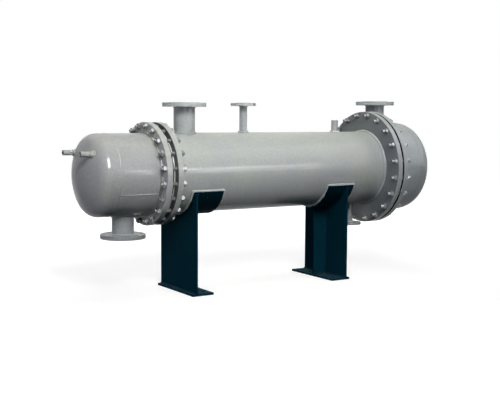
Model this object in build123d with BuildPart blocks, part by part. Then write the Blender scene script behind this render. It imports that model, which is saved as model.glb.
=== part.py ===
from build123d import *

import math
import os

# Horizontal shell and tube condenser on two plate saddles.
#
# Millimetres. +X runs along the shell from the channel end to the cover end, +Z is up, and -Y is the
# front. The origin is on the floor, under the middle of the overall box.

# Overall layout. Stations are distances along the axis from the channel flange's outer face.
axis_height = 636.0
shell_flange_span = 1466.0
channel_length = 221.0
cover_length = 173.0

# Barrels, and heads with a crown and a knuckle in proportion to their diameter
shell_od = 426.0
shell_wall = 9.0
cover_step = 52.0
cover_wall = 10.0
crown_ratio = 0.90
knuckle_ratio = 0.17
channel_head_skirt = 43.0
cover_head_skirt = 12.0

# Front body joint: channel flange, gasket, tubesheet, gasket, shell flange
front_flange_thickness = 32.0
front_gasket_width = 19.0
front_bolt_margin = 18.0
front_edge_margin = 20.0
front_hole = 22.0
tubesheet_thickness = 24.0

# Rear body joint: shell flange, gasket, cover flange, both with a raised face
rear_flange_thickness = 31.0
rear_gasket_width = 31.0
rear_bolt_margin = 15.0
rear_edge_margin = 21.5
rear_hole = 24.0
raised_face_height = 4.5

body_bolt_count = 20
gasket_thickness = 3.0
flange_edge_chamfer = 2.0

# Fits
weld_gap = 0.3
weld_recess = 5.0

# Large nozzle, used three times
large_neck_od = 114.3
large_neck_wall = 6.3
large_flange_thickness = 24.0
large_raised_width = 21.85
large_bolt_margin = 16.0
large_edge_margin = 22.5
large_hole = 22.0
large_hole_count = 8

# Small nozzle, used twice
small_neck_od = 42.4
small_neck_wall = 3.6
small_flange_thickness = 17.0
small_raised_width = 16.8
small_bolt_margin = 12.0
small_edge_margin = 20.0
small_hole = 18.0
small_hole_count = 4

nozzle_raised_height = 2.0
nozzle_edge_chamfer = 1.0

# Nozzle places: along the shell, and how far each face stands off its barrel
inlet_station = 240.0
inlet_projection = 162.0
vent_station = 611.0
vent_projection = 163.0
drain_setback = 94.0
drain_projection = 133.0
channel_nozzle_setback = 121.0
channel_nozzle_projection = 118.0
cover_nozzle_setback = 101.0
cover_nozzle_projection = 132.0
cover_nozzle_offset = 100.0

# Plain pipe connections
coupling_setback = 216.0
coupling_projection = 68.0
coupling_od = 40.0
coupling_wall = 5.0
head_stub_od = 28.0
head_stub_wall = 3.5
head_stub_free_length = 48.0
head_stub_taper = 2.0
head_stub_root_step = 2.0
head_stub_inset = 51.8
head_stub_angle = 44.5
head_stub_projection = 28.0
head_stub_inner_end = 6.0

# Saddles
front_saddle_station = 182.0
rear_saddle_setback = 246.0
base_width = 126.0
base_thickness = 12.0
base_lap = 4.78
anchor_end_inset = 50.0
anchor_hole = 24.0
anchor_inset = 90.0
web_thickness = 10.0
web_inset = 20.0
rib_thickness = 10.0
rib_inset = 12.0
pad_thickness = 10.0
pad_width = 184.0
front_pad_overhang = -3.0
rear_pad_overhang = 20.0
pad_half_angle = 66.5
pad_corner = 4.0
vent_hole = 10.0
vent_hole_angle = 58.0

# Tube bundle, seen through the inlet, and the floating head, seen through the cover nozzle
tube_od = 25.0
tube_pitch = 32.0
tube_rings = 3
floating_setback = 30.0
floating_sheet_clearance = 5.0
floating_sheet_thickness = 30.0
floating_flange_clearance = 25.0
floating_flange_thickness = 30.0
floating_dish_wall = 10.0
floating_crown_ratio = 1.0

# Diameters that follow from the shell, outwards
shell_radius = shell_od / 2
tubesheet_od = shell_od + 2 * front_gasket_width
front_bolt_circle = tubesheet_od + 2 * front_bolt_margin
front_flange_od = front_bolt_circle + 2 * front_edge_margin
cover_od = shell_od + 2 * cover_step
cover_radius = cover_od / 2
raised_face_od = cover_od + 2 * rear_gasket_width
rear_bolt_circle = raised_face_od + 2 * rear_bolt_margin
rear_flange_od = rear_bolt_circle + 2 * rear_edge_margin
floating_sheet_od = shell_od - 2 * shell_wall - 2 * floating_sheet_clearance
floating_flange_od = cover_od - 2 * cover_wall - 2 * floating_flange_clearance
pad_radius = shell_radius + weld_gap + pad_thickness
base_length = 2 * (pad_radius * math.sin(math.radians(pad_half_angle)) - base_lap)
head_stub_root_od = head_stub_od + 2 * head_stub_root_step
bolt_phase = 180.0 / body_bolt_count


def head_shape(outer_diameter, crown, knuckle):
    """Crown radius, knuckle radius, the crown centre's distance behind the tangent, and the join's angle."""
    crown_radius = crown * outer_diameter
    knuckle_radius = knuckle * outer_diameter
    knuckle_centre = outer_diameter / 2 - knuckle_radius
    behind = math.sqrt((crown_radius - knuckle_radius) ** 2 - knuckle_centre**2)
    return crown_radius, knuckle_radius, behind, math.degrees(math.atan2(knuckle_centre, behind))


def head_depth(outer_diameter, crown=crown_ratio, knuckle=knuckle_ratio):
    crown_radius, knuckle_radius, behind, join = head_shape(outer_diameter, crown, knuckle)
    return crown_radius - behind


# Stations that follow, from the channel end to the cover end
channel_seam_station = -channel_length
channel_tangent_station = channel_seam_station - channel_head_skirt
head_stub_tip_station = channel_tangent_station - head_depth(shell_od) - head_stub_projection
tubesheet_station = front_flange_thickness + gasket_thickness
shell_flange_station = tubesheet_station + tubesheet_thickness + gasket_thickness
shell_start_station = shell_flange_station + weld_recess
shell_end_station = shell_flange_span + rear_flange_thickness - weld_recess
rear_joint_station = shell_flange_span + rear_flange_thickness + raised_face_height
cover_flange_station = rear_joint_station + gasket_thickness + raised_face_height
cover_back_station = cover_flange_station + rear_flange_thickness
cover_tangent_station = cover_back_station + cover_length
cover_seam_station = cover_tangent_station - cover_head_skirt
cover_apex_station = cover_tangent_station + head_depth(cover_od)
floating_sheet_station = shell_end_station + floating_setback
floating_head_station = floating_sheet_station + floating_sheet_thickness
x_shift = -(head_stub_tip_station + cover_apex_station) / 2


def across_axis(station):
    """A plane square to the shell's axis at a station, looking along +X."""
    return Plane(origin=(x_shift + station, 0, axis_height), x_dir=(0, 1, 0), z_dir=(1, 0, 0))


def along_axis(station, towards):
    """An upright plane through the shell's axis, with its x running towards +X (1) or -X (-1)."""
    origin = (x_shift + station, 0, axis_height)
    return Plane(origin=origin, x_dir=(towards, 0, 0), z_dir=(0, -towards, 0))


def nozzle_plane(station, upwards, reach, offset=0.0):
    """A plane at the mouth of a nozzle, facing out of it."""
    origin = (x_shift + station, offset, axis_height + upwards * reach)
    return Plane(origin=origin, x_dir=(1, 0, 0), z_dir=(0, 0, upwards))


def save(part, name):
    part.label = name
    export_step(part, f"parts/{name}.step")


os.makedirs("parts", exist_ok=True)

# Mouths of the nozzles and of the coupling
inlet_reach = shell_radius + inlet_projection
vent_reach = shell_radius + vent_projection
coupling_reach = shell_radius + coupling_projection
drain_reach = shell_radius + drain_projection
channel_nozzle_reach = shell_radius + channel_nozzle_projection
cover_nozzle_reach = cover_radius + cover_nozzle_projection
inlet_mouth = nozzle_plane(inlet_station, 1, inlet_reach)
vent_mouth = nozzle_plane(vent_station, 1, vent_reach)
coupling_mouth = nozzle_plane(shell_flange_span - coupling_setback, 1, coupling_reach)
drain_mouth = nozzle_plane(shell_flange_span - drain_setback, -1, drain_reach)
channel_mouth = nozzle_plane(-channel_nozzle_setback, -1, channel_nozzle_reach)
cover_mouth = nozzle_plane(
    cover_back_station + cover_nozzle_setback, 1, cover_nozzle_reach, cover_nozzle_offset
)


def barrel(start, end, outer_diameter, wall, branches):
    """A round barrel with a hole for each branch, given as (mouth plane, reach, pipe diameter)."""
    with BuildPart() as made:
        with BuildSketch(across_axis(start)):
            Circle(outer_diameter / 2)
            Circle(outer_diameter / 2 - wall, mode=Mode.SUBTRACT)
        extrude(amount=end - start)
        for mouth, reach, pipe in branches:
            with BuildSketch(mouth):
                Circle(pipe / 2 + weld_gap)
            extrude(amount=-reach, mode=Mode.SUBTRACT)
    return made.part


def head_profile(outer_diameter, wall, skirt, crown, knuckle):
    """The cut face of a head in its own plane: tangent line at x = 0, skirt behind, crown ahead."""
    radius = outer_diameter / 2
    crown_radius, knuckle_radius, behind, join = head_shape(outer_diameter, crown, knuckle)
    knuckle_centre = (0, radius - knuckle_radius)
    crown_centre = (-behind, 0)
    depth = crown_radius - behind
    Line((-skirt, radius), (0, radius))
    CenterArc(knuckle_centre, knuckle_radius, 90, join - 90)
    CenterArc(crown_centre, crown_radius, join, -join)
    Line((depth, 0), (depth - wall, 0))
    CenterArc(crown_centre, crown_radius - wall, 0, join)
    CenterArc(knuckle_centre, knuckle_radius - wall, join, 90 - join)
    Line((0, radius - wall), (-skirt, radius - wall))
    Line((-skirt, radius - wall), (-skirt, radius))


def dished_head(tangent, towards, outer_diameter, wall, skirt, branches=()):
    """A dished head with a straight skirt, and a hole for each stub, given as (y, z, diameter)."""
    plane = along_axis(tangent, towards)
    with BuildPart() as made:
        with BuildSketch(plane):
            with BuildLine():
                head_profile(outer_diameter, wall, skirt, crown_ratio, knuckle_ratio)
            make_face()
        revolve(axis=Axis(plane.origin, plane.x_dir))
        for y, z, pipe in branches:
            with BuildSketch(across_axis(tangent)):
                with Locations((y, z)):
                    Circle(pipe / 2 + weld_gap)
            extrude(amount=towards * head_depth(outer_diameter), mode=Mode.SUBTRACT)
    return made.part


def body_flange(start, thickness, outer_diameter, pipe, bolt_circle, hole, raised_side=0):
    """A slip-on body flange with its bolt holes. raised_side is the side of its raised face, if any."""
    with BuildPart() as made:
        with BuildSketch(across_axis(start)):
            Circle(outer_diameter / 2)
        extrude(amount=thickness)
        rims = made.edges().filter_by(GeomType.CIRCLE)
        chamfer(rims, flange_edge_chamfer)
        if raised_side:
            face = start + thickness if raised_side > 0 else start
            with BuildSketch(across_axis(face)):
                Circle(raised_face_od / 2)
            extrude(amount=raised_side * raised_face_height)
        with BuildSketch(across_axis(start - raised_face_height)):
            Circle(pipe / 2 + weld_gap)
            with PolarLocations(bolt_circle / 2, body_bolt_count, start_angle=bolt_phase):
                Circle(hole / 2)
        extrude(amount=thickness + 2 * raised_face_height, mode=Mode.SUBTRACT)
    return made.part


def ring(start, thickness, outer_diameter, inner_diameter):
    with BuildPart() as made:
        with BuildSketch(across_axis(start)):
            Circle(outer_diameter / 2)
            Circle(inner_diameter / 2, mode=Mode.SUBTRACT)
        extrude(amount=thickness)
    return made.part


def nozzle_neck(mouth, reach, pipe, wall, recess, body_radius, body_wall):
    """A pipe from just inside the mouth, through the barrel, trimmed flush with the barrel's inside."""
    with BuildPart() as made:
        with BuildSketch(mouth.offset(-recess)):
            Circle(pipe / 2)
            Circle(pipe / 2 - wall, mode=Mode.SUBTRACT)
        extrude(amount=recess - reach)
        with BuildSketch(across_axis(mouth.origin.X - x_shift - pipe)):
            Circle(body_radius - body_wall)
        extrude(amount=2 * pipe, mode=Mode.SUBTRACT)
    return made.part


def nozzle_flange(mouth, thickness, pipe, raised_width, bolt_margin, edge_margin, hole, count):
    """A slip-on pipe flange with a raised face, its bolt holes astride the centre lines."""
    raised = pipe / 2 + raised_width
    bolt_radius = raised + bolt_margin
    with BuildPart() as made:
        with BuildSketch(mouth.offset(-thickness)):
            Circle(bolt_radius + edge_margin)
        extrude(amount=thickness - nozzle_raised_height)
        chamfer(made.edges().filter_by(GeomType.CIRCLE), nozzle_edge_chamfer)
        with BuildSketch(mouth.offset(-nozzle_raised_height)):
            Circle(raised)
        extrude(amount=nozzle_raised_height)
        with BuildSketch(mouth):
            Circle(pipe / 2 + weld_gap)
            with PolarLocations(bolt_radius, count, start_angle=180 / count):
                Circle(hole / 2)
        extrude(amount=-thickness, mode=Mode.SUBTRACT)
    return made.part


def large_nozzle(name, mouth, reach, body_radius, body_wall):
    neck = nozzle_neck(mouth, reach, large_neck_od, large_neck_wall, weld_recess, body_radius, body_wall)
    flange = nozzle_flange(
        mouth, large_flange_thickness, large_neck_od, large_raised_width,
        large_bolt_margin, large_edge_margin, large_hole, large_hole_count,
    )
    save(neck, f"{name}_neck")
    save(flange, f"{name}_flange")


def small_nozzle(name, mouth, reach):
    neck = nozzle_neck(mouth, reach, small_neck_od, small_neck_wall, weld_recess, shell_radius, shell_wall)
    flange = nozzle_flange(
        mouth, small_flange_thickness, small_neck_od, small_raised_width,
        small_bolt_margin, small_edge_margin, small_hole, small_hole_count,
    )
    save(neck, f"{name}_neck")
    save(flange, f"{name}_flange")


# Channel: the bonnet at the front end
stub_circle = shell_radius - head_stub_inset
stub_y = stub_circle * math.cos(math.radians(head_stub_angle))
stub_z = stub_circle * math.sin(math.radians(head_stub_angle))
stub_places = [(-stub_y, stub_z, head_stub_root_od), (stub_y, stub_z, head_stub_root_od)]
save(
    barrel(
        channel_seam_station, front_flange_thickness - weld_recess, shell_od, shell_wall,
        [(channel_mouth, channel_nozzle_reach, large_neck_od)],
    ),
    "channel_barrel",
)
save(
    dished_head(channel_tangent_station, -1, shell_od, shell_wall, channel_head_skirt, stub_places),
    "channel_head",
)
save(
    body_flange(0, front_flange_thickness, front_flange_od, shell_od, front_bolt_circle, front_hole),
    "channel_flange",
)
large_nozzle("channel_nozzle", channel_mouth, channel_nozzle_reach, shell_radius, shell_wall)


def head_stub(side):
    """A pipe end parallel to the axis, with a thicker root that passes through the head's knuckle."""
    crown_radius, knuckle_radius, behind, join = head_shape(shell_od, crown_ratio, knuckle_ratio)
    outer_edge = stub_circle + head_stub_root_od / 2
    from_centre = outer_edge - (shell_radius - knuckle_radius)
    wall_depth = math.sqrt((knuckle_radius - shell_wall) ** 2 - from_centre**2)
    length = channel_tangent_station - wall_depth + head_stub_inner_end - head_stub_tip_station
    bore = head_stub_od / 2 - head_stub_wall
    root = head_stub_root_od / 2
    origin = (x_shift + head_stub_tip_station, side * stub_y, axis_height + stub_z)
    plane = Plane(origin=origin, x_dir=(1, 0, 0), z_dir=(0, -1, 0))
    with BuildPart() as made:
        with BuildSketch(plane):
            with BuildLine():
                Polyline(
                    (0, bore), (0, head_stub_od / 2), (head_stub_free_length, head_stub_od / 2),
                    (head_stub_free_length + head_stub_taper, root), (length, root), (length, bore),
                    close=True,
                )
            make_face()
        revolve(axis=Axis(plane.origin, plane.x_dir))
    return made.part


save(head_stub(-1), "head_stub_near")
save(head_stub(1), "head_stub_far")

# Front body joint
save(ring(front_flange_thickness, gasket_thickness, tubesheet_od, shell_od), "channel_gasket")
with BuildPart() as front_tubesheet:
    with BuildSketch(across_axis(tubesheet_station)):
        Circle(tubesheet_od / 2)
    extrude(amount=tubesheet_thickness)
save(front_tubesheet.part, "front_tubesheet")
save(
    ring(tubesheet_station + tubesheet_thickness, gasket_thickness, tubesheet_od, shell_od),
    "shell_gasket",
)
save(
    body_flange(
        shell_flange_station, front_flange_thickness, front_flange_od, shell_od,
        front_bolt_circle, front_hole,
    ),
    "shell_front_flange",
)

# Shell
shell_branches = [
    (inlet_mouth, inlet_reach, large_neck_od),
    (vent_mouth, vent_reach, small_neck_od),
    (coupling_mouth, coupling_reach, coupling_od),
    (drain_mouth, drain_reach, small_neck_od),
]
save(
    barrel(shell_start_station, shell_end_station, shell_od, shell_wall, shell_branches),
    "shell_barrel",
)
large_nozzle("inlet", inlet_mouth, inlet_reach, shell_radius, shell_wall)
small_nozzle("vent", vent_mouth, vent_reach)
small_nozzle("drain", drain_mouth, drain_reach)
save(
    nozzle_neck(
        coupling_mouth, coupling_reach, coupling_od, coupling_wall, 0, shell_radius, shell_wall
    ),
    "shell_coupling",
)

# Rear body joint and cover
save(
    body_flange(
        shell_flange_span, rear_flange_thickness, rear_flange_od, shell_od,
        rear_bolt_circle, rear_hole, raised_side=1,
    ),
    "shell_rear_flange",
)
save(ring(rear_joint_station, gasket_thickness, raised_face_od, cover_od), "cover_gasket")
save(
    body_flange(
        cover_flange_station, rear_flange_thickness, rear_flange_od, cover_od,
        rear_bolt_circle, rear_hole, raised_side=-1,
    ),
    "cover_flange",
)
save(
    barrel(
        cover_flange_station + weld_recess - raised_face_height, cover_seam_station,
        cover_od, cover_wall, [(cover_mouth, cover_nozzle_reach, large_neck_od)],
    ),
    "cover_barrel",
)
save(
    dished_head(cover_tangent_station, 1, cover_od, cover_wall, cover_head_skirt),
    "cover_head",
)
large_nozzle("cover_nozzle", cover_mouth, cover_nozzle_reach, cover_radius, cover_wall)

# Tube bundle: straight tubes in rings between the two tubesheets
bundle_start = tubesheet_station + tubesheet_thickness
with BuildPart() as tube_bundle:
    with BuildSketch(across_axis(bundle_start)):
        Circle(tube_od / 2)
        for tube_ring in range(1, tube_rings + 1):
            with PolarLocations(tube_ring * tube_pitch, 6 * tube_ring):
                Circle(tube_od / 2)
    extrude(amount=floating_sheet_station - bundle_start)
save(tube_bundle.part, "tube_bundle")

with BuildPart() as floating_tubesheet:
    with BuildSketch(across_axis(floating_sheet_station)):
        Circle(floating_sheet_od / 2)
    extrude(amount=floating_sheet_thickness)
save(floating_tubesheet.part, "floating_tubesheet")

with BuildPart() as floating_head:
    dish_plane = along_axis(floating_head_station + floating_flange_thickness, 1)
    with BuildSketch(dish_plane):
        with BuildLine():
            head_profile(
                floating_sheet_od, floating_dish_wall, floating_flange_thickness,
                floating_crown_ratio, knuckle_ratio,
            )
        make_face()
        with Locations((-floating_flange_thickness / 2, (floating_sheet_od + floating_flange_od) / 4)):
            Rectangle(floating_flange_thickness, (floating_flange_od - floating_sheet_od) / 2)
    revolve(axis=Axis(dish_plane.origin, dish_plane.x_dir))
save(floating_head.part, "floating_head")


def saddle(name, outer_station, inwards, pad_overhang):
    """A plate saddle: base, full width web near its outer edge, one rib inside it, and a curved pad."""
    web_face = outer_station + inwards * web_inset
    anchor_x = x_shift + outer_station + inwards * anchor_inset
    anchor_y = base_length / 2 - anchor_end_inset
    plate_height = axis_height - base_thickness
    plate_middle = -plate_height / 2
    seat_radius = pad_radius + weld_gap

    with BuildPart() as base:
        with BuildSketch(Plane.XY):
            with Locations((x_shift + outer_station + inwards * base_width / 2, 0)):
                Rectangle(base_width, base_length)
            with Locations((anchor_x, -anchor_y), (anchor_x, anchor_y)):
                Circle(anchor_hole / 2, mode=Mode.SUBTRACT)
        extrude(amount=base_thickness)
    save(base.part, f"{name}_base")

    with BuildPart() as web:
        with BuildSketch(across_axis(web_face)):
            with Locations((0, plate_middle)):
                Rectangle(base_length, plate_height)
            Circle(seat_radius, mode=Mode.SUBTRACT)
        extrude(amount=inwards * web_thickness)
    save(web.part, f"{name}_web")

    with BuildPart() as rib:
        with BuildSketch(across_axis(web_face + inwards * web_thickness)):
            with Locations((0, plate_middle)):
                Rectangle(rib_thickness, plate_height)
            Circle(seat_radius, mode=Mode.SUBTRACT)
        extrude(amount=inwards * (base_width - web_inset - web_thickness - rib_inset))
    save(rib.part, f"{name}_rib")

    pad_centre = outer_station + inwards * (pad_width / 2 - pad_overhang)
    spread = pad_radius * math.tan(math.radians(pad_half_angle))
    with BuildPart() as pad:
        with BuildSketch(across_axis(pad_centre - pad_width / 2)):
            with BuildLine():
                Polyline((0, 0), (spread, -pad_radius), (-spread, -pad_radius), (0, 0))
            make_face()
            Circle(pad_radius, mode=Mode.INTERSECT)
            Circle(shell_radius + weld_gap, mode=Mode.SUBTRACT)
        extrude(amount=pad_width)
        fillet(pad.edges().filter_by(GeomType.LINE).filter_by(Axis.X, reverse=True), pad_corner)
        straight_down = Plane(
            origin=(x_shift + pad_centre, 0, axis_height), x_dir=(1, 0, 0), z_dir=(0, 0, -1)
        )
        with BuildSketch(straight_down.rotated((-vent_hole_angle, 0, 0))):
            Circle(vent_hole / 2)
        extrude(amount=shell_od, mode=Mode.SUBTRACT)
    save(pad.part, f"{name}_pad")


saddle("front_saddle", front_saddle_station, 1, front_pad_overhang)
saddle("rear_saddle", shell_flange_span - rear_saddle_setback, -1, rear_pad_overhang)
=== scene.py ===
# %% [markdown]
# # A shell and tube condenser
# A long steel shell lies on two plate saddles. A bolted channel closes its front end, a wider bolted
# cover closes the rear, and flanged nozzles stand out above and below. The solids come in as a
# finished frame, in metres, with the floor at Z = 0 and the shell's axis along X. What is added here
# is what a fitter, a welder and a painter add: studs and nuts, weld beads, and paint.

# %% Load the frame
import math
import bmesh
import bpy
from mathutils import Vector, Matrix


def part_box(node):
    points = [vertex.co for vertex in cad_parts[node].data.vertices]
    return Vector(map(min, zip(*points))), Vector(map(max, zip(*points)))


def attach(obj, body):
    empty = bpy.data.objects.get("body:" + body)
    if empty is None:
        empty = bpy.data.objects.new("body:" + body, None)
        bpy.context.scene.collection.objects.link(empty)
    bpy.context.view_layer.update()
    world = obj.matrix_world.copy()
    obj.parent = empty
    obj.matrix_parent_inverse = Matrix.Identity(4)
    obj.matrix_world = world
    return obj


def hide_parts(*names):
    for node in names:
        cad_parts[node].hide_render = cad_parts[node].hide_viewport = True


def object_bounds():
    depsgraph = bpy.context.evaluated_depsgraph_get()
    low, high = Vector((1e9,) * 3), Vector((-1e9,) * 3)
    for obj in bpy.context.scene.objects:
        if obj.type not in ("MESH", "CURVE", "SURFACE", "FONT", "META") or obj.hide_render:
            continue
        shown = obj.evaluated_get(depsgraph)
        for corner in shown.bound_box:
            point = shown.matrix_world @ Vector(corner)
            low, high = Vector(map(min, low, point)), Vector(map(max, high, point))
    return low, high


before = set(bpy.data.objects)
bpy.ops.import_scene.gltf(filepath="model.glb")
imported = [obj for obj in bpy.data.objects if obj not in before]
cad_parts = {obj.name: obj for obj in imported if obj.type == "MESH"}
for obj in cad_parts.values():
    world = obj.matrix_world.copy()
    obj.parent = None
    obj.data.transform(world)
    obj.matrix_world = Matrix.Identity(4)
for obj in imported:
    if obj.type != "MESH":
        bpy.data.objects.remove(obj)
cad_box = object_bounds()
size_x = cad_box[1].x - cad_box[0].x
print(f"{len(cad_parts)} solids, {size_x:.3f} m long, {cad_box[1].z:.3f} m high")

# %% [markdown]
# ## The places that everything else is measured from
# The frame knows where each solid lies, so a bead or a stud takes its place from the solid it sits
# on. Only the sizes that a box can't tell, such as a bolt circle, are written here.

# %% Measure the frame
shell_low, shell_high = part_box("shell_barrel")
axis_z = (shell_low.z + shell_high.z) / 2
shell_radius = (shell_high.z - shell_low.z) / 2
cover_low, cover_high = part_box("cover_barrel")
cover_radius = (cover_high.z - cover_low.z) / 2
print(f"axis at {axis_z:.3f} m, shell radius {shell_radius:.4f} m, cover radius {cover_radius:.4f} m")


def nozzle(name, upwards, body_radius):
    """Where a flanged nozzle stands: its axis, the height of its face, and its pipe's radius."""
    low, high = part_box(f"{name}_neck")
    flange_low, flange_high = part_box(f"{name}_flange")
    return {
        "name": name,
        "x": (low.x + high.x) / 2,
        "y": (low.y + high.y) / 2,
        "up": upwards,
        "face": flange_high.z if upwards > 0 else flange_low.z,
        "back": flange_low.z if upwards > 0 else flange_high.z,
        "pipe": (high.x - low.x) / 2,
        "body": body_radius,
    }


nozzles = [
    nozzle("inlet", 1, shell_radius),
    nozzle("vent", 1, shell_radius),
    nozzle("drain", -1, shell_radius),
    nozzle("channel_nozzle", -1, shell_radius),
    nozzle("cover_nozzle", 1, cover_radius),
]
for n in nozzles:
    print(f"{n['name']}: x {n['x']:.3f}, face at {n['face']:.3f} m, pipe radius {n['pipe'] * 1000:.1f} mm")

# %% [markdown]
# ## The camera
# The view is a three quarter one from the channel end, a little above the shell's axis, through a
# lens about twice as long as a normal one. A long lens keeps the barrel's two edges nearly parallel.

# %% Set up the camera
camera_data = bpy.data.cameras.new("camera")
camera_data.sensor_width = 36.0
camera_data.lens = 66.36
camera = bpy.data.objects.new("camera", camera_data)
bpy.context.scene.collection.objects.link(camera)
forward = Vector((0.53768, 0.83802, -0.09282)).normalized()
level_right = Vector((forward.y, -forward.x, 0.0)).normalized()
roll = math.radians(0.36)
level_up = level_right.cross(forward)
right = level_right * math.cos(roll) + level_up * math.sin(roll)
up = right.cross(forward)
turn = Matrix((right, up, -forward)).transposed().to_4x4()
camera.matrix_world = Matrix.Translation((-2.8472, -4.3376, 0.9502)) @ turn
bpy.context.scene.camera = camera
print("camera stands", round(camera.location.length, 2), "m from the middle of the floor")

# %% [markdown]
# ## Helpers for node trees
# Materials and Geometry Nodes are both graphs. Two small helpers keep them readable: one adds a node
# and plugs in its inputs, the other does arithmetic on sockets.


# %% Add nodes and plug them in
def node(tree, kind, inputs=None, **settings):
    """Adds a node, applies its settings, and fills its inputs from values or from other sockets."""
    made = tree.nodes.new(kind)
    for key, value in settings.items():
        setattr(made, key, value)
    for key, value in (inputs or {}).items():
        socket = made.inputs[key]
        if isinstance(value, bpy.types.NodeSocket):
            tree.links.new(value, socket)
        else:
            socket.default_value = value
    return made


def calc(tree, operation, first, second=0.0, third=0.0):
    """One step of arithmetic, in a material or in a geometry tree."""
    made = node(tree, "ShaderNodeMath", operation=operation)
    for socket, value in zip(made.inputs, (first, second, third)):
        if isinstance(value, bpy.types.NodeSocket):
            tree.links.new(value, socket)
        else:
            socket.default_value = value
    return made.outputs[0]


# %% [markdown]
# ## Grey enamel
# The vessel is sprayed with a semi-gloss grey enamel. Close up it has orange peel, further off the
# rolled plate waves a little, and the tone drifts between a greener and a bluer grey where one coat is
# thicker. Dust dulls and lightens what faces up, which is also a painted sheen there. Ambient occlusion
# darkens the corners, painted shade that stands also for grime. A wave or two of noise for each
# scale says the rest without any picture.
#
# One function mixes them all, because they differ only in tone and in where they stop. A nozzle's
# flange has its joint face left bare, which the height of the face is enough to tell. Where two body
# flanges meet, a dark band of painted shade covers the gap and the edges beside it, which a station
# along X tells; faces that look along X can take painted shade too. The channel is a little darker and
# the cover a little bluer than the shell. The nozzles above the shell take a lighter copy of the enamel,
# painted light, and the ones below it and the cover's neck a darker one, painted shade. The beads take a
# lighter copy too, a painted highlight.


# %% Mix the enamel
def blank_material(name):
    """A material with only its shader and output left in it."""
    made = bpy.data.materials.new(name)
    made.use_nodes = True
    tree = made.node_tree
    shader = tree.nodes["Principled BSDF"]
    return made, tree, shader


def noise(tree, coordinates, scale, detail=2.0, roughness=0.5):
    made = node(tree, "ShaderNodeTexNoise",
                {"Vector": coordinates, "Scale": scale, "Detail": detail, "Roughness": roughness})
    return made.outputs["Fac"]


def between(tree, factor, from_low, from_high, to_low, to_high):
    made = node(tree, "ShaderNodeMapRange",
                {"Value": factor, "From Min": from_low, "From Max": from_high,
                 "To Min": to_low, "To Max": to_high})
    return made.outputs["Result"]


def blend_colour(tree, factor, first, second):
    made = node(tree, "ShaderNodeMix", data_type="RGBA")
    for socket, value in zip((made.inputs[0], made.inputs[6], made.inputs[7]), (factor, first, second)):
        if isinstance(value, bpy.types.NodeSocket):
            tree.links.new(value, socket)
        else:
            socket.default_value = value
    return made.outputs[2]


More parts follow.
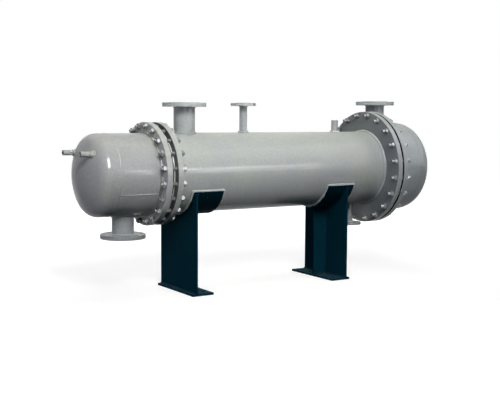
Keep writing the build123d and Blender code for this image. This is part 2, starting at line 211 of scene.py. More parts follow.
def paint(name, light, dark, dust_and_sheen, roughness, specular, coat, peel=0.00010, bare_height=None,
          joint_station=None, joint_reach=0.0060, side_grime=0.0, paste_tone=(0.004, 0.005, 0.006, 1),
          coat_rough=0.09):
    """A sprayed enamel: drifting tone, dust with a painted sheen on top, painted shade in the corners that
    stands also for grime, orange peel and rolled waves. Near joint_station, along X, a band of painted
    shade darkens the gap of a bolted joint, and side_grime is painted shade on what faces along X."""
    made, tree, shader = blank_material(name)
    place = node(tree, "ShaderNodeTexCoord").outputs["Object"]
    drift = between(tree, noise(tree, place, 3.0, 4.0, 0.6), 0.3, 0.7, 0.0, 1.0)
    colour = blend_colour(tree, drift, dark, light)
    mottle = between(tree, noise(tree, place, 85.0, 4.0, 0.75), 0.40, 0.64, 0.0, 0.42)
    colour = blend_colour(tree, mottle, colour, tuple(c * 0.72 for c in dark[:3]) + (1,))
    facing = node(tree, "ShaderNodeSeparateXYZ", {0: node(tree, "ShaderNodeNewGeometry").outputs["Normal"]})
    # A lighter tone on what faces up: dust, and a painted sheen.
    settled_and_sheen = between(tree, facing.outputs["Z"], 0.15, 1.0, 0.0, 0.5)
    patchy = between(tree, noise(tree, place, 14.0, 5.0, 0.65), 0.35, 0.65, 0.25, 1.0)
    settled_and_sheen = calc(tree, "MULTIPLY", settled_and_sheen, patchy)
    colour = blend_colour(tree, settled_and_sheen, colour, dust_and_sheen)
    # Ambient occlusion darkens the corners: painted shade, standing also for grime.
    corner = node(tree, "ShaderNodeAmbientOcclusion", {"Distance": 0.02}, samples=6).outputs["AO"]
    grime = between(tree, corner, 0.2, 0.75, 0.5, 0.0)
    colour = blend_colour(tree, grime, colour, (0.03, 0.03, 0.028, 1.0))
    if side_grime:
        # Painted shade on the faces that look along X.
        flat_side = calc(tree, "GREATER_THAN", calc(tree, "ABSOLUTE", facing.outputs["X"]), 0.9)
        shaded = calc(tree, "MULTIPLY", flat_side, side_grime)
        colour = blend_colour(tree, shaded, colour, (0.03, 0.035, 0.045, 1.0))
    if joint_station is not None:
        # A dark band of painted shade over the gap of a bolted joint.
        station = node(tree, "ShaderNodeSeparateXYZ", {0: place}).outputs["X"]
        paste = calc(tree, "COMPARE", station, joint_station, joint_reach)
        colour = blend_colour(tree, paste, colour, paste_tone)
    rough = between(tree, noise(tree, place, 22.0, 4.0, 0.6), 0.3, 0.7, roughness - 0.05, roughness + 0.07)
    rough = calc(tree, "ADD", rough, calc(tree, "MULTIPLY", settled_and_sheen, 0.3))
    waves = node(tree, "ShaderNodeBump",
                 {"Strength": 1.0, "Distance": 0.0010, "Height": noise(tree, place, 5.0, 1.0, 0.4)})
    skin = node(tree, "ShaderNodeBump",
                {"Strength": 1.0, "Distance": peel, "Height": noise(tree, place, 260.0, 2.0, 0.5),
                 "Normal": waves.outputs["Normal"]})
    if bare_height is not None:
        height = node(tree, "ShaderNodeSeparateXYZ", {0: place}).outputs["Z"]
        near_face = calc(tree, "COMPARE", height, bare_height, 0.0004)
        flat = calc(tree, "GREATER_THAN", calc(tree, "ABSOLUTE", facing.outputs["Z"]), 0.9)
        bare = calc(tree, "MULTIPLY", near_face, flat)
        tarnish = between(tree, noise(tree, place, 35.0, 5.0, 0.6), 0.35, 0.7, 0.0, 1.0)
        metal = blend_colour(tree, tarnish, (0.50, 0.49, 0.46, 1.0), (0.30, 0.26, 0.21, 1.0))
        colour = blend_colour(tree, bare, colour, metal)
        rough = calc(tree, "ADD", calc(tree, "MULTIPLY", rough, calc(tree, "SUBTRACT", 1.0, bare)),
                     calc(tree, "MULTIPLY", bare, 0.38))
        tree.links.new(calc(tree, "MULTIPLY", bare, 0.85), shader.inputs["Metallic"])
    tree.links.new(colour, shader.inputs["Base Color"])
    tree.links.new(rough, shader.inputs["Roughness"])
    tree.links.new(skin.outputs["Normal"], shader.inputs["Normal"])
    shader.inputs["Specular IOR Level"].default_value = specular
    shader.inputs["Coat Weight"].default_value = coat
    shader.inputs["Coat Roughness"].default_value = coat_rough
    return made


def enamel(name, tint=(1.0, 1.0, 1.0), **places):
    """The grey enamel; tint shifts its tone a little, for another part's tone and for the lighter and darker
    copies that are painted light and shade.
    """
    light, dark, dust_and_sheen = [tuple(c * shift for c, shift in zip(tone, tint)) + (1,) for tone in (
        (0.448, 0.484, 0.434), (0.386, 0.396, 0.430), (0.458, 0.484, 0.396))]
    return paint(name, light, dark, dust_and_sheen, roughness=0.36, specular=0.02, coat=0.33, **places)


grey_enamel = enamel("grey_enamel")
channel_enamel = enamel("channel_enamel", tint=(0.91, 0.885, 0.905), coat_rough=0.11)
cover_enamel = enamel("cover_enamel", tint=(0.96, 1.02, 1.06))
# A lighter copy for the nozzle necks above the shell, painted light; a darker copy for the necks below it and
# under the cover's flange, painted shade.
nozzle_enamel = enamel("nozzle_enamel", tint=(1.06, 1.09, 1.12))
low_nozzle_enamel = enamel("low_nozzle_enamel", tint=(0.74, 0.74, 0.80))
# side_grime darkens the stubs' faces that look along X, such as their open ends: painted shade.
stub_enamel = enamel("stub_enamel", side_grime=0.9)
front_gap = (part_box("channel_flange")[1].x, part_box("shell_front_flange")[0].x)
rear_gap = (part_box("shell_rear_flange")[1].x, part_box("cover_flange")[0].x)
# A dark band of painted shade covers the front joint's gap and 1 mm of each flange beside it.
front_joint_enamel = enamel("front_joint_enamel", joint_station=sum(front_gap) / 2,
                            joint_reach=(front_gap[1] - front_gap[0]) / 2 + 0.0010,
                            paste_tone=(0.09, 0.095, 0.105, 1))
# The rear flanges take a bluer tint, and side_grime darkens their faces along X: both painted shade. The
# joint's gap is a dark band of painted shade.
rear_joint_enamel = enamel("rear_joint_enamel", joint_station=sum(rear_gap) / 2, tint=(1.0, 1.03, 1.06),
                           side_grime=0.54)
# A lighter copy of the enamel for weld beads: a painted highlight on them.
lit_bead_enamel = enamel("lit_bead_enamel", tint=(1.18, 1.18, 1.18))
faced_enamel = {}
for n in nozzles:
    # Flanges above the shell take a lighter copy, painted light, and those below a darker one, painted shade.
    tint = (1.15, 1.18, 1.20) if n["up"] > 0 else (0.74, 0.74, 0.80)
    faced_enamel[f"{n['name']}_flange"] = enamel(f"{n['name']}_enamel", tint=tint, bare_height=n["face"])
# The lighter tone on what faces up is dust and a painted sheen, as on the base plates' tops.
saddle_paint = paint("saddle_paint", (0.0014, 0.034, 0.056, 1), (0.0010, 0.026, 0.044, 1),
                     (0.050, 0.085, 0.095, 1), roughness=0.55, specular=0.004, coat=0.0)
pad_paint = paint("pad_paint", (0.0010, 0.017, 0.027, 1), (0.0008, 0.013, 0.021, 1),
                  (0.050, 0.085, 0.095, 1), roughness=0.55, specular=0.004, coat=0.0)
print("enamels:", grey_enamel.name, saddle_paint.name, pad_paint.name,
      *(m.name for m in faced_enamel.values()))

# %% [markdown]
# ## Bare metal and gasket
# The tubesheet's rim and the floating head are turned, so fine rings run round the axis. The rim shows
# as a bright line in the front joint, clean on the shell's side and darkened on the other by painted
# shade in the gap. Studs and nuts are zinc plated, and their faces that look along the shell are
# darkened, which is painted shade. The gaskets are dark pressed fibre.


# %% Finish the bare parts
def turned_steel(name, colour, rough, centre, axis="X", ring=900.0, metal=0.9, shadowed_to=None):
    """Metal with the fine rings that a lathe leaves round an axis. A clamped rim is darkened by painted
    shade up to the station shadowed_to, along X."""
    made, tree, shader = blank_material(name)
    place = node(tree, "ShaderNodeTexCoord").outputs["Object"]
    moved = node(tree, "ShaderNodeMapping", {"Vector": place, "Location": centre}).outputs["Vector"]
    rings = node(tree, "ShaderNodeTexWave", {"Vector": moved, "Scale": ring, "Distortion": 0.3},
                 wave_type="RINGS", rings_direction=axis)
    stain = between(tree, noise(tree, place, 18.0, 5.0, 0.65), 0.35, 0.7, 0.0, 1.0)
    dull = tuple(c * 0.62 for c in colour[:3]) + (1,)
    tone = blend_colour(tree, stain, colour, dull)
    if shadowed_to is not None:
        # Painted shade on the rim next to the channel flange, in the joint's gap.
        station = node(tree, "ShaderNodeSeparateXYZ", {0: place}).outputs["X"]
        shadowed = calc(tree, "LESS_THAN", station, shadowed_to)
        tone = blend_colour(tree, shadowed, tone, (0.02, 0.021, 0.023, 1.0))
    tree.links.new(tone, shader.inputs["Base Color"])
    tree.links.new(between(tree, stain, 0.0, 1.0, rough, rough + 0.2), shader.inputs["Roughness"])
    bump = node(tree, "ShaderNodeBump", {"Strength": 0.4, "Distance": 0.0001, "Height": rings.outputs["Fac"]})
    tree.links.new(bump.outputs["Normal"], shader.inputs["Normal"])
    shader.inputs["Metallic"].default_value = metal
    return made


def speckled(name, colour, spot, scale, rough, metal, height, end_shade=0.0):
    """A finish of two close tones in small patches, for plated and pressed parts. end_shade darkens the
    faces that look along X, such as the cut end of a stud, which is painted shade."""
    made, tree, shader = blank_material(name)
    place = node(tree, "ShaderNodeTexCoord").outputs["Object"]
    patch = between(tree, noise(tree, place, scale, 4.0, 0.6), 0.38, 0.68, 0.0, 1.0)
    facing = node(tree, "ShaderNodeSeparateXYZ", {0: node(tree, "ShaderNodeNewGeometry").outputs["Normal"]})
    # Painted shade on the faces that look along X.
    along = between(tree, calc(tree, "ABSOLUTE", facing.outputs["X"]), 0.75, 0.95, 0.0, end_shade)
    tone = blend_colour(tree, patch, colour, spot)
    tree.links.new(blend_colour(tree, along, tone, (0.03, 0.03, 0.032, 1)), shader.inputs["Base Color"])
    tree.links.new(between(tree, patch, 0.0, 1.0, rough, rough + 0.18), shader.inputs["Roughness"])
    bump = node(tree, "ShaderNodeBump",
                {"Strength": 0.5, "Distance": height, "Height": noise(tree, place, scale * 6, 2.0, 0.5)})
    tree.links.new(bump.outputs["Normal"], shader.inputs["Normal"])
    shader.inputs["Metallic"].default_value = metal
    return made


sheet_steel = turned_steel("turned_sheet", (0.55, 0.54, 0.51, 1), 0.32, (0, 0, -axis_z))
clamped_steel = turned_steel("clamped_sheet", (0.78, 0.78, 0.75, 1), 0.35, (0, 0, -axis_z), metal=0.3,
                             shadowed_to=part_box("front_tubesheet")[1].x - 0.0052)
bundle_metal = speckled("drawn_tube", (0.50, 0.38, 0.28, 1), (0.30, 0.24, 0.19, 1), 40.0, 0.35, 0.8, 0.0001)
zinc = speckled("zinc_plate", (0.24, 0.245, 0.245, 1), (0.11, 0.115, 0.115, 1), 120.0, 0.31, 0.6, 0.0001,
                end_shade=0.75)
fibre = speckled("gasket_fibre", (0.020, 0.020, 0.019, 1), (0.04, 0.038, 0.035, 1), 400.0, 0.75, 0.0, 0.0002)
print("bare finishes:", sheet_steel.name, bundle_metal.name, zinc.name, fibre.name)

# %% [markdown]
# ## Give each solid its finish
# A solid keeps its shape and only its material slots change. Its name says what it is.


# %% Assign the finishes
def finish_of(name):
    if name.endswith("saddle_pad"):
        return pad_paint
    if name.startswith(("front_saddle", "rear_saddle")):
        return saddle_paint
    if name.endswith("gasket"):
        return fibre
    if name == "front_tubesheet":
        return clamped_steel
    if name in ("floating_tubesheet", "floating_head"):
        return sheet_steel
    if name == "tube_bundle":
        return bundle_metal
    if name in ("channel_barrel", "channel_head"):
        return channel_enamel
    if name in ("cover_barrel", "cover_head"):
        return cover_enamel
    if name in ("channel_nozzle_neck", "cover_nozzle_neck", "drain_neck"):
        return low_nozzle_enamel
    if name.endswith("_neck"):
        return nozzle_enamel
    if name.startswith("head_stub"):
        return stub_enamel
    if name in ("channel_flange", "shell_front_flange"):
        return front_joint_enamel
    if name in ("shell_rear_flange", "cover_flange"):
        return rear_joint_enamel
    return faced_enamel.get(name, grey_enamel)


for name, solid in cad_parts.items():
    solid.data.materials.clear()
    solid.data.materials.append(finish_of(name))
print("finished solids:", len(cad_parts))

# %% [markdown]
# The front tubesheet is turned a little larger than its gaskets, so its bright rim stands almost up to
# the studs. The solid keeps its holes: a copy of it is taken, and only the skin of its rim is moved out.


# %% Turn the tubesheet's rim
def turned_out(name, source, old_radius, new_radius):
    """A copy of a solid whose outermost skin is moved from one radius to another."""
    shape = bmesh.new()
    shape.from_mesh(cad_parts[source].data)
    bmesh.ops.remove_doubles(shape, verts=shape.verts, dist=1e-6)
    moved = 0
    for vertex in shape.verts:
        reach = math.hypot(vertex.co.y, vertex.co.z - axis_z)
        if reach > old_radius - 0.0008:
            grow_by = new_radius / reach
            vertex.co.y *= grow_by
            vertex.co.z = axis_z + (vertex.co.z - axis_z) * grow_by
            moved += 1
    mesh = bpy.data.meshes.new(name)
    shape.to_mesh(mesh)
    shape.free()
    mesh.materials.append(finish_of(source))
    piece = bpy.data.objects.new(name, mesh)
    bpy.context.scene.collection.objects.link(piece)
    print(f"{name}: {moved} points moved out to {new_radius * 1000:.0f} mm")
    return piece


sheet_low, sheet_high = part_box("front_tubesheet")
sheet = turned_out("front_tubesheet_rimmed", "front_tubesheet", (sheet_high.z - sheet_low.z) / 2, 0.2385)
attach(sheet, "root")
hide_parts("front_tubesheet")

# %% [markdown]
# ## Studs and nuts of the body joints
# Each body joint is pulled together by studs with a nut on both ends. One tree makes one joint: it
# sets points round the bolt circle, puts a threaded stud on each, and a nut against each outer face.
# A nut is a six sided prism whose corners are cut by a cone, which is one small formula on a
# cylinder: the radius at each point is the smaller of the hexagon's and the cone's.


# %% Start a geometry tree
def geometry_tree(name, inputs):
    """An empty tree with named inputs, given as (name, kind, value)."""
    tree = bpy.data.node_groups.new(name, "GeometryNodeTree")
    for label, kind, value in inputs:
        socket = tree.interface.new_socket(label, in_out="INPUT", socket_type=kind)
        if value is not None:
            socket.default_value = value
    tree.interface.new_socket("Geometry", in_out="OUTPUT", socket_type="NodeSocketGeometry")
    given = tree.nodes.new("NodeGroupInput").outputs
    result = tree.nodes.new("NodeGroupOutput").inputs["Geometry"]
    return tree, given, result


def set_radius(tree, mesh, radius):
    """Moves each point of a unit cylinder to a given distance from its axis."""
    where = node(tree, "ShaderNodeSeparateXYZ", {0: node(tree, "GeometryNodeInputPosition").outputs[0]})
    place = node(tree, "ShaderNodeCombineXYZ",
                 {"X": calc(tree, "MULTIPLY", where.outputs["X"], radius),
                  "Y": calc(tree, "MULTIPLY", where.outputs["Y"], radius),
                  "Z": where.outputs["Z"]}).outputs[0]
    return node(tree, "GeometryNodeSetPosition", {"Geometry": mesh, "Position": place}).outputs[0]


def height_and_turn(tree):
    """The height of a point along the cylinder, and its angle round it."""
    where = node(tree, "ShaderNodeSeparateXYZ", {0: node(tree, "GeometryNodeInputPosition").outputs[0]})
    return where.outputs["Z"], calc(tree, "ARCTAN2", where.outputs["Y"], where.outputs["X"])


# %% Build the joint tree
joint_tree, given, result = geometry_tree("bolted_joint", [
    ("Bolt circle radius", "NodeSocketFloat", 0.25),
    ("Bolts", "NodeSocketInt", 20),
    ("First bolt angle", "NodeSocketFloat", 0.0),
    ("Near face", "NodeSocketFloat", 0.0),
    ("Far face", "NodeSocketFloat", 0.1),
    ("Stud radius", "NodeSocketFloat", 0.010),
    ("Stud overhang", "NodeSocketFloat", 0.026),
    ("Thread pitch", "NodeSocketFloat", 0.0025),
    ("Across flats", "NodeSocketFloat", 0.030),
    ("Nut height", "NodeSocketFloat", 0.018),
    ("Axis height", "NodeSocketFloat", axis_z),
    ("Seed", "NodeSocketInt", 1),
    ("Finish", "NodeSocketMaterial", None),
])
t = joint_tree

# The nut
z, angle = height_and_turn(t)
apothem = calc(t, "MULTIPLY", given["Across flats"], 0.5)
sixth = math.radians(60)
off_flat = calc(t, "SUBTRACT", calc(t, "FLOORED_MODULO", angle, sixth), sixth / 2)
hexagon = calc(t, "DIVIDE", apothem, calc(t, "COSINE", off_flat))
inset = calc(t, "SUBTRACT", calc(t, "MULTIPLY", given["Nut height"], 0.5), calc(t, "ABSOLUTE", z))
cone = calc(t, "MULTIPLY_ADD", inset, 1.7, calc(t, "MULTIPLY", apothem, 0.96))
blank = node(t, "GeometryNodeMeshCylinder",
             {"Vertices": 36, "Side Segments": 10, "Radius": 1.0, "Depth": given["Nut height"]})
nut = set_radius(t, blank.outputs["Mesh"], calc(t, "MINIMUM", hexagon, cone))

# The stud, with a ridge for each turn of its thread and a chamfer at each end
span = calc(t, "ADD", calc(t, "SUBTRACT", given["Far face"], given["Near face"]),
            calc(t, "MULTIPLY", given["Stud overhang"], 2.0))
half_pitch = calc(t, "MULTIPLY", given["Thread pitch"], 0.5)
turns = calc(t, "ROUND", calc(t, "DIVIDE", span, half_pitch))
z, angle = height_and_turn(t)
from_end = calc(t, "ADD", z, calc(t, "MULTIPLY", span, 0.5))
ring_number = calc(t, "ROUND", calc(t, "DIVIDE", from_end, half_pitch))
ridge = calc(t, "FLOORED_MODULO", ring_number, 2.0)
thread = calc(t, "MULTIPLY", given["Stud radius"], calc(t, "MULTIPLY_ADD", ridge, 0.13, 0.87))
to_end = calc(t, "SUBTRACT", calc(t, "MULTIPLY", span, 0.5), calc(t, "ABSOLUTE", z))
tip = calc(t, "MULTIPLY_ADD", to_end, 0.8, calc(t, "MULTIPLY", given["Stud radius"], 0.72))
rod = node(t, "GeometryNodeMeshCylinder",
           {"Vertices": 14, "Side Segments": turns, "Radius": 1.0, "Depth": span})
stud = set_radius(t, rod.outputs["Mesh"], calc(t, "MINIMUM", thread, tip))

# Points round the bolt circle, facing along X
line = node(t, "GeometryNodeMeshLine", {"Count": given["Bolts"]})
step = calc(t, "DIVIDE", math.tau, given["Bolts"])
bolt_angle = calc(t, "MULTIPLY_ADD", node(t, "GeometryNodeInputIndex").outputs[0], step,
                  given["First bolt angle"])
across = calc(t, "MULTIPLY", calc(t, "COSINE", bolt_angle), given["Bolt circle radius"])
above = calc(t, "MULTIPLY_ADD", calc(t, "SINE", bolt_angle), given["Bolt circle radius"], given["Axis height"])


def on_circle(station):
    place = node(t, "ShaderNodeCombineXYZ", {"X": station, "Y": across, "Z": above}).outputs[0]
    return node(t, "GeometryNodeSetPosition", {"Geometry": line.outputs[0], "Position": place}).outputs[0]


def place_along_x(points, thing, seed_step):
    """Puts a thing on each point, lying along X, turned by a random amount."""
    spin = node(t, "FunctionNodeRandomValue",
                {"Min": 0.0, "Max": math.tau, "Seed": calc(t, "ADD", given["Seed"], seed_step)},
                data_type="FLOAT")
    turned = node(t, "ShaderNodeCombineXYZ", {"X": 0.0, "Y": math.pi / 2, "Z": 0.0})
    first = node(t, "ShaderNodeCombineXYZ", {"Z": spin.outputs[1]})
    euler = node(t, "FunctionNodeRotateRotation",
                 {"Rotation": turned.outputs[0], "Rotate By": first.outputs[0]}, rotation_space="LOCAL")
    return node(t, "GeometryNodeInstanceOnPoints",
                {"Points": points, "Instance": thing, "Rotation": euler.outputs[0]}).outputs[0]


half_nut = calc(t, "MULTIPLY", given["Nut height"], 0.5)
joined = node(t, "GeometryNodeJoinGeometry")
middle = calc(t, "MULTIPLY", calc(t, "ADD", given["Near face"], given["Far face"]), 0.5)
for thing, station, seed_step in (
    (nut, calc(t, "SUBTRACT", given["Near face"], half_nut), 0),
    (nut, calc(t, "ADD", given["Far face"], half_nut), 7),
    (stud, middle, 13),
):
    t.links.new(place_along_x(on_circle(station), thing, seed_step), joined.inputs[0])
real = node(t, "GeometryNodeRealizeInstances", {0: joined.outputs[0]})
coated = node(t, "GeometryNodeSetMaterial", {"Geometry": real.outputs[0], "Material": given["Finish"]})
t.links.new(coated.outputs[0], result)


# %% Turn a tree into a plain mesh
def grow(name, tree, values, start=None):
    """Runs a tree once on a start object, and keeps the result as a plain mesh at the origin."""
    if start is None:
        start = bpy.data.meshes.new(f"{name}_start")
    seed = bpy.data.objects.new(f"{name}_start", start)
    bpy.context.scene.collection.objects.link(seed)
    modifier = seed.modifiers.new(name, "NODES")
    modifier.node_group = tree
    for item in tree.interface.items_tree:
        if item.in_out == "INPUT" and item.name in values:
            modifier[item.identifier] = values[item.name]
    graph = bpy.context.evaluated_depsgraph_get()
    mesh = bpy.data.meshes.new_from_object(seed.evaluated_get(graph), depsgraph=graph)
    mesh.name = name
    seed.modifiers.remove(modifier)
    bpy.data.objects.remove(seed)
    piece = bpy.data.objects.new(name, mesh)
    bpy.context.scene.collection.objects.link(piece)
    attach(piece, "root")
    print(f"{name}: {len(mesh.polygons)} faces")
    return piece


# %% Bolt up both joints
for name, near, far, circle, overhang, seed in (
    ("front_joint_bolts", "channel_flange", "shell_front_flange", 0.250, 0.026, 3),
    ("rear_joint_bolts", "shell_rear_flange", "cover_flange", 0.311, 0.036, 11),
):
    bolts = grow(name, joint_tree, {
        "Bolt circle radius": circle,
        "First bolt angle": math.radians(9),
        "Near face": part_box(near)[0].x,
        "Far face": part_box(far)[1].x,
        "Stud overhang": overhang,
        "Seed": seed,
        "Finish": zinc,
    })

# %% [markdown]
# ## Weld beads
# Every pipe, flange and plate is joined by a fillet weld, and a bead shows the ripples of each pass.
# A bead is a thin tube whose middle runs along the corner between two surfaces, so only a quarter
# of it shows. One tree sweeps it along any path, and gives the radius a ripple and a slow wander.

# %% Build the bead tree
bead_tree, given, result = geometry_tree("weld_bead", [
    ("Geometry", "NodeSocketGeometry", None),
    ("Bead radius", "NodeSocketFloat", 0.005),
    ("Ripple pitch", "NodeSocketFloat", 0.0026),
    ("Ripple", "NodeSocketFloat", 0.12),
    ("Wander", "NodeSocketFloat", 0.16),
    ("Seed", "NodeSocketFloat", 0.0),
    ("Finish", "NodeSocketMaterial", None),
])
t = bead_tree
path = node(t, "GeometryNodeResampleCurve",
            {"Curve": given["Geometry"], "Length": calc(t, "MULTIPLY", given["Ripple pitch"], 0.5)},
            mode="LENGTH")
ridge = calc(t, "FLOORED_MODULO", node(t, "GeometryNodeInputIndex").outputs[0], 2.0)
uneven = node(t, "ShaderNodeTexNoise",
              {"Vector": node(t, "GeometryNodeInputPosition").outputs[0], "W": given["Seed"], "Scale": 30.0},
              noise_dimensions="4D")
swell = calc(t, "MULTIPLY", calc(t, "SUBTRACT", uneven.outputs[0], 0.5),
             calc(t, "MULTIPLY", given["Wander"], 2.0))
thick = calc(t, "ADD", calc(t, "MULTIPLY_ADD", ridge, given["Ripple"], 1.0), swell)
profile = node(t, "GeometryNodeCurvePrimitiveCircle", {"Resolution": 10, "Radius": given["Bead radius"]})
swept = node(t, "GeometryNodeCurveToMesh",
             {"Curve": path.outputs[0], "Profile Curve": profile.outputs["Curve"], "Scale": thick,
              "Fill Caps": True})
smooth = node(t, "GeometryNodeSetShadeSmooth", {"Geometry": swept.outputs[0]})
real = node(t, "GeometryNodeRealizeInstances", {0: smooth.outputs[0]})
coated = node(t, "GeometryNodeSetMaterial", {"Geometry": real.outputs[0], "Material": given["Finish"]})
t.links.new(coated.outputs[0], result)


# %% Paths for the beads
def ring_path(x, radius, count=96):
    """Round the shell's axis at one station."""
    turns = [math.tau * i / count for i in range(count)]
    return [Vector((x, radius * math.cos(a), axis_z + radius * math.sin(a))) for a in turns], True


def saddle_path(n, count=72):
    """Round a nozzle's pipe where it meets the round body."""
    points = []
    for i in range(count):
        a = math.tau * i / count
        x = n["x"] + n["pipe"] * math.cos(a)
        y = n["y"] + n["pipe"] * math.sin(a)
        points.append(Vector((x, y, axis_z + n["up"] * math.sqrt(n["body"] ** 2 - y ** 2))))
    return points, True


def collar_path(n, count=48):
    """Round a nozzle's pipe where it enters the back of its flange."""
    turns = [math.tau * i / count for i in range(count)]
    return [Vector((n["x"] + n["pipe"] * math.cos(a), n["y"] + n["pipe"] * math.sin(a), n["back"]))
            for a in turns], True


def curve_of(name, paths):
    """A curve with one straight-sided spline for each path, closed or open."""
    curve = bpy.data.curves.new(name, "CURVE")
    curve.dimensions = "3D"
    for points, closed in paths:
        spline = curve.splines.new("POLY")
        spline.points.add(len(points) - 1)
        for spot, point in zip(spline.points, points):
            spot.co = (*point, 1.0)
        spline.use_cyclic_u = closed
    return curve


def weld(name, paths, radius, seed, finish=grey_enamel, ripple=0.12, wander=0.16,
         pitch=0.0026):
    """Grows a bead along the paths, in the given finish."""
    piece = grow(name, bead_tree, {
        "Bead radius": radius, "Ripple": ripple, "Ripple pitch": pitch, "Wander": wander,
        "Seed": seed, "Finish": finish,
    }, curve_of(name, paths))
    return piece


# %% Weld the body flanges
channel_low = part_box("channel_barrel")[0]
front_edges = [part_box("channel_flange")[0].x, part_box("shell_front_flange")[1].x]
weld("front_flange_welds", [ring_path(x, shell_radius) for x in front_edges], 0.0085, 1.0,
     wander=0.30, pitch=0.0036)
rear_edges = [(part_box("shell_rear_flange")[0].x, shell_radius), (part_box("cover_flange")[1].x, cover_radius)]
weld("rear_flange_welds", [ring_path(x, r) for x, r in rear_edges], 0.0095, 1.5,
     finish=lit_bead_enamel, ripple=0.3, wander=0.50, pitch=0.0060)

# %% [markdown]
# The heads are butt welded to the barrels, which leaves a low cap round each seam. The channel's plate
# was rolled and closed with one straight seam, which ended up on the near side, below the middle. A
# cap is the same bead, sunk until only its crown stands out of the plate.

# %% Weld the seams
cap_depth = 0.0086
weld("head_seams", [ring_path(channel_low.x, shell_radius - cap_depth),
                    ring_path(cover_high.x, cover_radius - cap_depth)], 0.0100, 2.0,
     finish=channel_enamel, ripple=0.03, wander=0.05, pitch=0.0036)
seam_angle = math.radians(-25.5)
seam_ends = [channel_low.x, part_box("channel_flange")[0].x]
seam_radius = shell_radius - 0.0026
seam_y, seam_z = -seam_radius * math.cos(seam_angle), axis_z + seam_radius * math.sin(seam_angle)
weld("channel_seam", [([Vector((x, seam_y, seam_z)) for x in seam_ends], False)], 0.0048, 2.5,
     finish=channel_enamel, ripple=0.1)

# %% Weld the nozzles
coupling_low, coupling_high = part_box("shell_coupling")
coupling = {"x": (coupling_low.x + coupling_high.x) / 2, "y": (coupling_low.y + coupling_high.y) / 2, "up": 1,
            "pipe": (coupling_high.x - coupling_low.x) / 2, "body": shell_radius}
large = [n for n in nozzles if n["pipe"] > 0.03]
small = [n for n in nozzles if n["pipe"] < 0.03]
weld("large_nozzle_welds", [saddle_path(n) for n in large], 0.0070, 3.0, wander=0.30, pitch=0.0034)
weld("small_nozzle_welds", [saddle_path(n, 40) for n in [*small, coupling]], 0.0085, 3.5,
     finish=lit_bead_enamel, wander=0.70, pitch=0.0044)
weld("nozzle_collar_welds", [collar_path(n) for n in nozzles], 0.0045, 4.0, wander=0.25)

# %% [markdown]
# Two short stubs stand on the knuckle of the channel head. Each is welded on by a ring that follows
# the head's own curve: a large dish in the middle, and a tight knuckle that turns into the straight rim.

# %% Weld the stubs
dish_radius, knuckle_radius = 0.3834, 0.0724
knuckle_centre, dish_edge = 0.14058, 0.1734
tangent_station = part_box("channel_head")[0].x + 0.1060


def head_station(distance):
    """Where the head's skin lies along X, at a distance from the axis."""
    if distance < dish_edge:
        return tangent_station - (math.sqrt(dish_radius ** 2 - distance ** 2) - (dish_radius - 0.1060))
    return tangent_station - math.sqrt(knuckle_radius ** 2 - (distance - knuckle_centre) ** 2)


def stub_path(name, radius=0.0160, count=48):
    """Round a stub where it meets the head."""
    low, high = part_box(name)
    middle = (low + high) / 2
    points = []
    for i in range(count):
        a = math.tau * i / count
        y, z = middle.y + radius * math.cos(a), middle.z + radius * math.sin(a)
        points.append(Vector((head_station(math.hypot(y, z - axis_z)), y, z)))
    return points, True


stubs = [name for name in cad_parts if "stub" in name]
print("stubs:", stubs)
weld("stub_welds", [stub_path(name) for name in stubs], 0.0045, 5.0, finish=lit_bead_enamel, wander=0.30)

# %% [markdown]
# ## Welds of the saddles
# A saddle is cut from plate: a base, a web across the vessel, a rib behind it, and a curved pad that
# spreads the load on the shell. The pad was welded round its whole edge by hand and then sprayed with
# the vessel, so a ragged pale line runs round the dark paint.


# %% Weld round the pads
def round_body(x, turn, radius):
    """A point on the shell, turn degrees away from its lowest line."""
    a = math.radians(turn)
    return Vector((x, radius * math.sin(a), axis_z - radius * math.cos(a)))


def pad_path(name, half_turn=66.9, count=48):
    """Along a pad's two curved edges and across its two top ones."""
    low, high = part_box(name)
    turns = [half_turn * (2 * i / count - 1) for i in range(count + 1)]
    radius = shell_radius + 0.0025
    front = [round_body(low.x, turn, radius) for turn in turns]
    back = [round_body(high.x, turn, radius) for turn in reversed(turns)]
    return front + back, True


# The beads take the lighter copy of the enamel, a painted highlight.
weld("pad_welds", [pad_path("front_saddle_pad"), pad_path("rear_saddle_pad")], 0.0058, 6.0,
     finish=lit_bead_enamel, ripple=0.3, wander=0.80, pitch=0.0060)


# %% Weld the saddle plates
def saddle_paths(side):
    """The fillets of one saddle: web to pad, web to base, rib to web, rib to base and rib to pad."""
    web_low, web_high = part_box(f"{side}_saddle_web")
    rib_low, rib_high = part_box(f"{side}_saddle_rib")
    pad_radius = shell_radius + 0.0100
    reach = math.degrees(math.asin(web_high.y / pad_radius)) - 0.5
    turns = [reach * (i / 18 - 1) for i in range(37)]
    floor_plate = web_low.z
    paths = []
    for x in (web_low.x, web_high.x):
        paths.append(([round_body(x, turn, pad_radius) for turn in turns], False))
        paths.append(([Vector((x, web_low.y, floor_plate)), Vector((x, web_high.y, floor_plate))], False))
    for y in (rib_low.y, rib_high.y):
        root = web_high.x if rib_low.x >= web_high.x - 0.001 else web_low.x
        tip = rib_high.x if root == web_high.x else rib_low.x
        top = axis_z - math.sqrt(pad_radius ** 2 - y ** 2)
        paths.append(([Vector((root, y, floor_plate)), Vector((root, y, top))], False))
        paths.append(([Vector((root, y, floor_plate)), Vector((tip, y, floor_plate))], False))
        paths.append(([Vector((root, y, top)), Vector((tip, y, top))], False))
    return paths


weld("saddle_fillets", saddle_paths("front") + saddle_paths("rear"), 0.0050, 7.0,
     finish=saddle_paint, ripple=0.15, wander=0.3, pitch=0.0040)

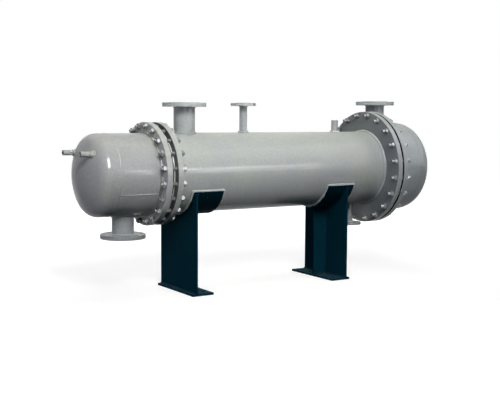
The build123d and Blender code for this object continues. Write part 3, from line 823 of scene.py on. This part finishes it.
# %% [markdown]
# ## Floor and light
# The object stands on a plain pale floor. One soft lamp, in front and towards the channel end, does
# most of the work: it is small enough for a flange to throw a clear shadow on its pipe, and a grid in
# front of it lets the light fall off towards the cover. A wide panel overhead lifts the top of the
# shell. Glossy paint also shows what stands round it, so a few cards are there only to be mirrored: a
# broad one whose foot draws the long edge along the barrel, thin strips that draw the bright line
# below it, one before the lamp and a wider one round it that draw its spot on the head and soften the
# edge, and one behind the camera for the nozzles. Weak panels at the ends and behind, one of them
# slightly blue, keep the other sides from going black. The floor and the world are white to the camera
# and in reflections, so that metal and paint show what they stand on. Only the light that bounces finds
# them dark, so that the belly stays dark.

# %% Lay the floor
floor_mesh = bpy.data.meshes.new("floor")
reach = 30.0
floor_mesh.from_pydata([(-reach, -reach, 0), (reach, -reach, 0), (reach, reach, 0), (-reach, reach, 0)],
                       [], [(0, 1, 2, 3)])
floor = bpy.data.objects.new("floor", floor_mesh)
bpy.context.scene.collection.objects.link(floor)

floor_paint, tree, shader = blank_material("floor_paint")
tree.nodes.remove(shader)
ray = node(tree, "ShaderNodeLightPath")
mirrored = calc(tree, "MAXIMUM", ray.outputs["Is Glossy Ray"], ray.outputs["Is Transmission Ray"])
seen = calc(tree, "MAXIMUM", ray.outputs["Is Camera Ray"], mirrored)
place = node(tree, "ShaderNodeTexCoord").outputs["Object"]
grain = between(tree, noise(tree, place, 2.0, 3.0, 0.5), 0.3, 0.7, 0.44, 0.47)
pale = node(tree, "ShaderNodeCombineColor", {"Red": grain, "Green": grain, "Blue": grain}).outputs[0]
seen_floor = node(tree, "ShaderNodeBsdfDiffuse", {"Color": pale})
far_off = node(tree, "ShaderNodeVectorMath", {0: place}, operation="LENGTH").outputs["Value"]
glow = between(tree, far_off, 1.2, 3.2, 0.68, 1.0)
lift = node(tree, "ShaderNodeEmission", {"Color": (1, 1, 1, 1), "Strength": glow})
lifted = node(tree, "ShaderNodeAddShader", {0: seen_floor.outputs[0], 1: lift.outputs[0]})
bounced = node(tree, "ShaderNodeBsdfDiffuse", {"Color": (0.006, 0.020, 0.026, 1)})
mixed = node(tree, "ShaderNodeMixShader", {0: seen, 1: bounced.outputs[0], 2: lifted.outputs[0]})
tree.links.new(mixed.outputs[0], tree.nodes["Material Output"].inputs["Surface"])
floor_mesh.materials.append(floor_paint)

# %% Light the world
world = bpy.data.worlds.new("studio")
bpy.context.scene.world = world
world.use_nodes = True
tree = world.node_tree
tree.nodes.clear()
ray = node(tree, "ShaderNodeLightPath")
seen = calc(tree, "MAXIMUM", ray.outputs["Is Camera Ray"],
            calc(tree, "MAXIMUM", ray.outputs["Is Glossy Ray"], ray.outputs["Is Transmission Ray"]))
strength = between(tree, seen, 0.0, 1.0, 0.01, 1.0)
sky = node(tree, "ShaderNodeBackground", {"Color": (1, 1, 1, 1), "Strength": strength})
tree.links.new(sky.outputs[0], node(tree, "ShaderNodeOutputWorld").inputs["Surface"])


# %% Hang the lights
def soft_light(name, towards, raised, distance, width, height, level, aim=(0.0, 0.0, 0.66), shows="both",
               grid=None, tint=(1.0, 1.0, 1.0)):
    """A panel that faces the object. towards is its bearing from the front, positive to the channel
    end, raised is its height angle, both in degrees, and level is its brightness where 1 is white.
    It shows on dull and glossy surfaces, or as a card only in gloss ("gloss"), or only on dull
    ones ("dull"). grid is the angle that a honeycomb in front of it lets through."""
    bearing, angle = math.radians(towards), math.radians(raised)
    direction = Vector((-math.sin(bearing) * math.cos(angle), -math.cos(bearing) * math.cos(angle),
                        math.sin(angle)))
    lamp = bpy.data.lights.new(name, "AREA")
    lamp.shape = "RECTANGLE"
    lamp.color = tint
    lamp.size = width
    lamp.size_y = height
    lamp.energy = level * math.pi * width * height
    if grid is not None:
        half = math.radians(grid) / 2
        lamp.spread = math.radians(grid)
        lamp.energy *= 1 - half / math.tan(half)
    made = bpy.data.objects.new(name, lamp)
    made.location = Vector(aim) + direction * distance
    made.rotation_euler = (-direction).to_track_quat("-Z", "Y").to_euler()
    made.visible_camera = False
    made.visible_diffuse = shows != "gloss"
    made.visible_glossy = shows != "dull"
    bpy.context.scene.collection.objects.link(made)
    print(f"{name}: {lamp.energy:.0f} W at", [round(v, 2) for v in made.location])
    return made


key_towards, key_raised, key_width, key_height = 17.5, 33.5, 1.4, 2.4
soft_light("key", key_towards, key_raised, 6.0, key_width, key_height, 41.5, aim=(-0.25, 0.0, 0.66),
           grid=50.0, tint=(1.0, 0.99, 0.975))
soft_light("overhead", 0.0, 84.0, 4.0, 3.6, 2.6, 2.3, aim=(-0.1, -0.1, 0.66))
soft_light("left_panel", 80.0, 4.0, 5.0, 2.5, 2.0, 1.5, shows="dull", tint=(0.95, 0.90, 1.12))
soft_light("end_panel", -105.0, 25.0, 5.0, 2.5, 2.5, 2.5, shows="dull")
soft_light("back_panel", 180.0, 30.0, 5.0, 4.0, 2.6, 2.5, shows="dull")

# %% Stand the cards
soft_light("sky_card", -45.0, 30.0, 5.0, 6.5, 5.2, 3.3, shows="gloss")
strip_height = 0.14
strips = (("near", -20.2, 4.41, 1.05, 1.0), ("far", -33.0, 4.30, 0.90, 0.75))
for name, towards, distance, width, share in strips:
    soft_light(f"{name}_upper_strip", towards, 11.5, distance, width, strip_height, 44.0 * share,
               shows="gloss")
    soft_light(f"{name}_lower_strip", towards, 3.5, distance, width, strip_height, 26.0 * share,
               shows="gloss")
soft_light("camera_card", 22.0, 1.0, 6.4, 2.4, 1.2, 8.0, shows="gloss")
soft_light("key_card", 18.0, 36.0, 6.2, 2.6, 3.4, 8.0, shows="gloss")
soft_light("key_shine", key_towards, key_raised, 5.9, key_width, key_height, 50.0, shows="gloss")
bpy.context.scene.view_settings.view_transform = "Standard"
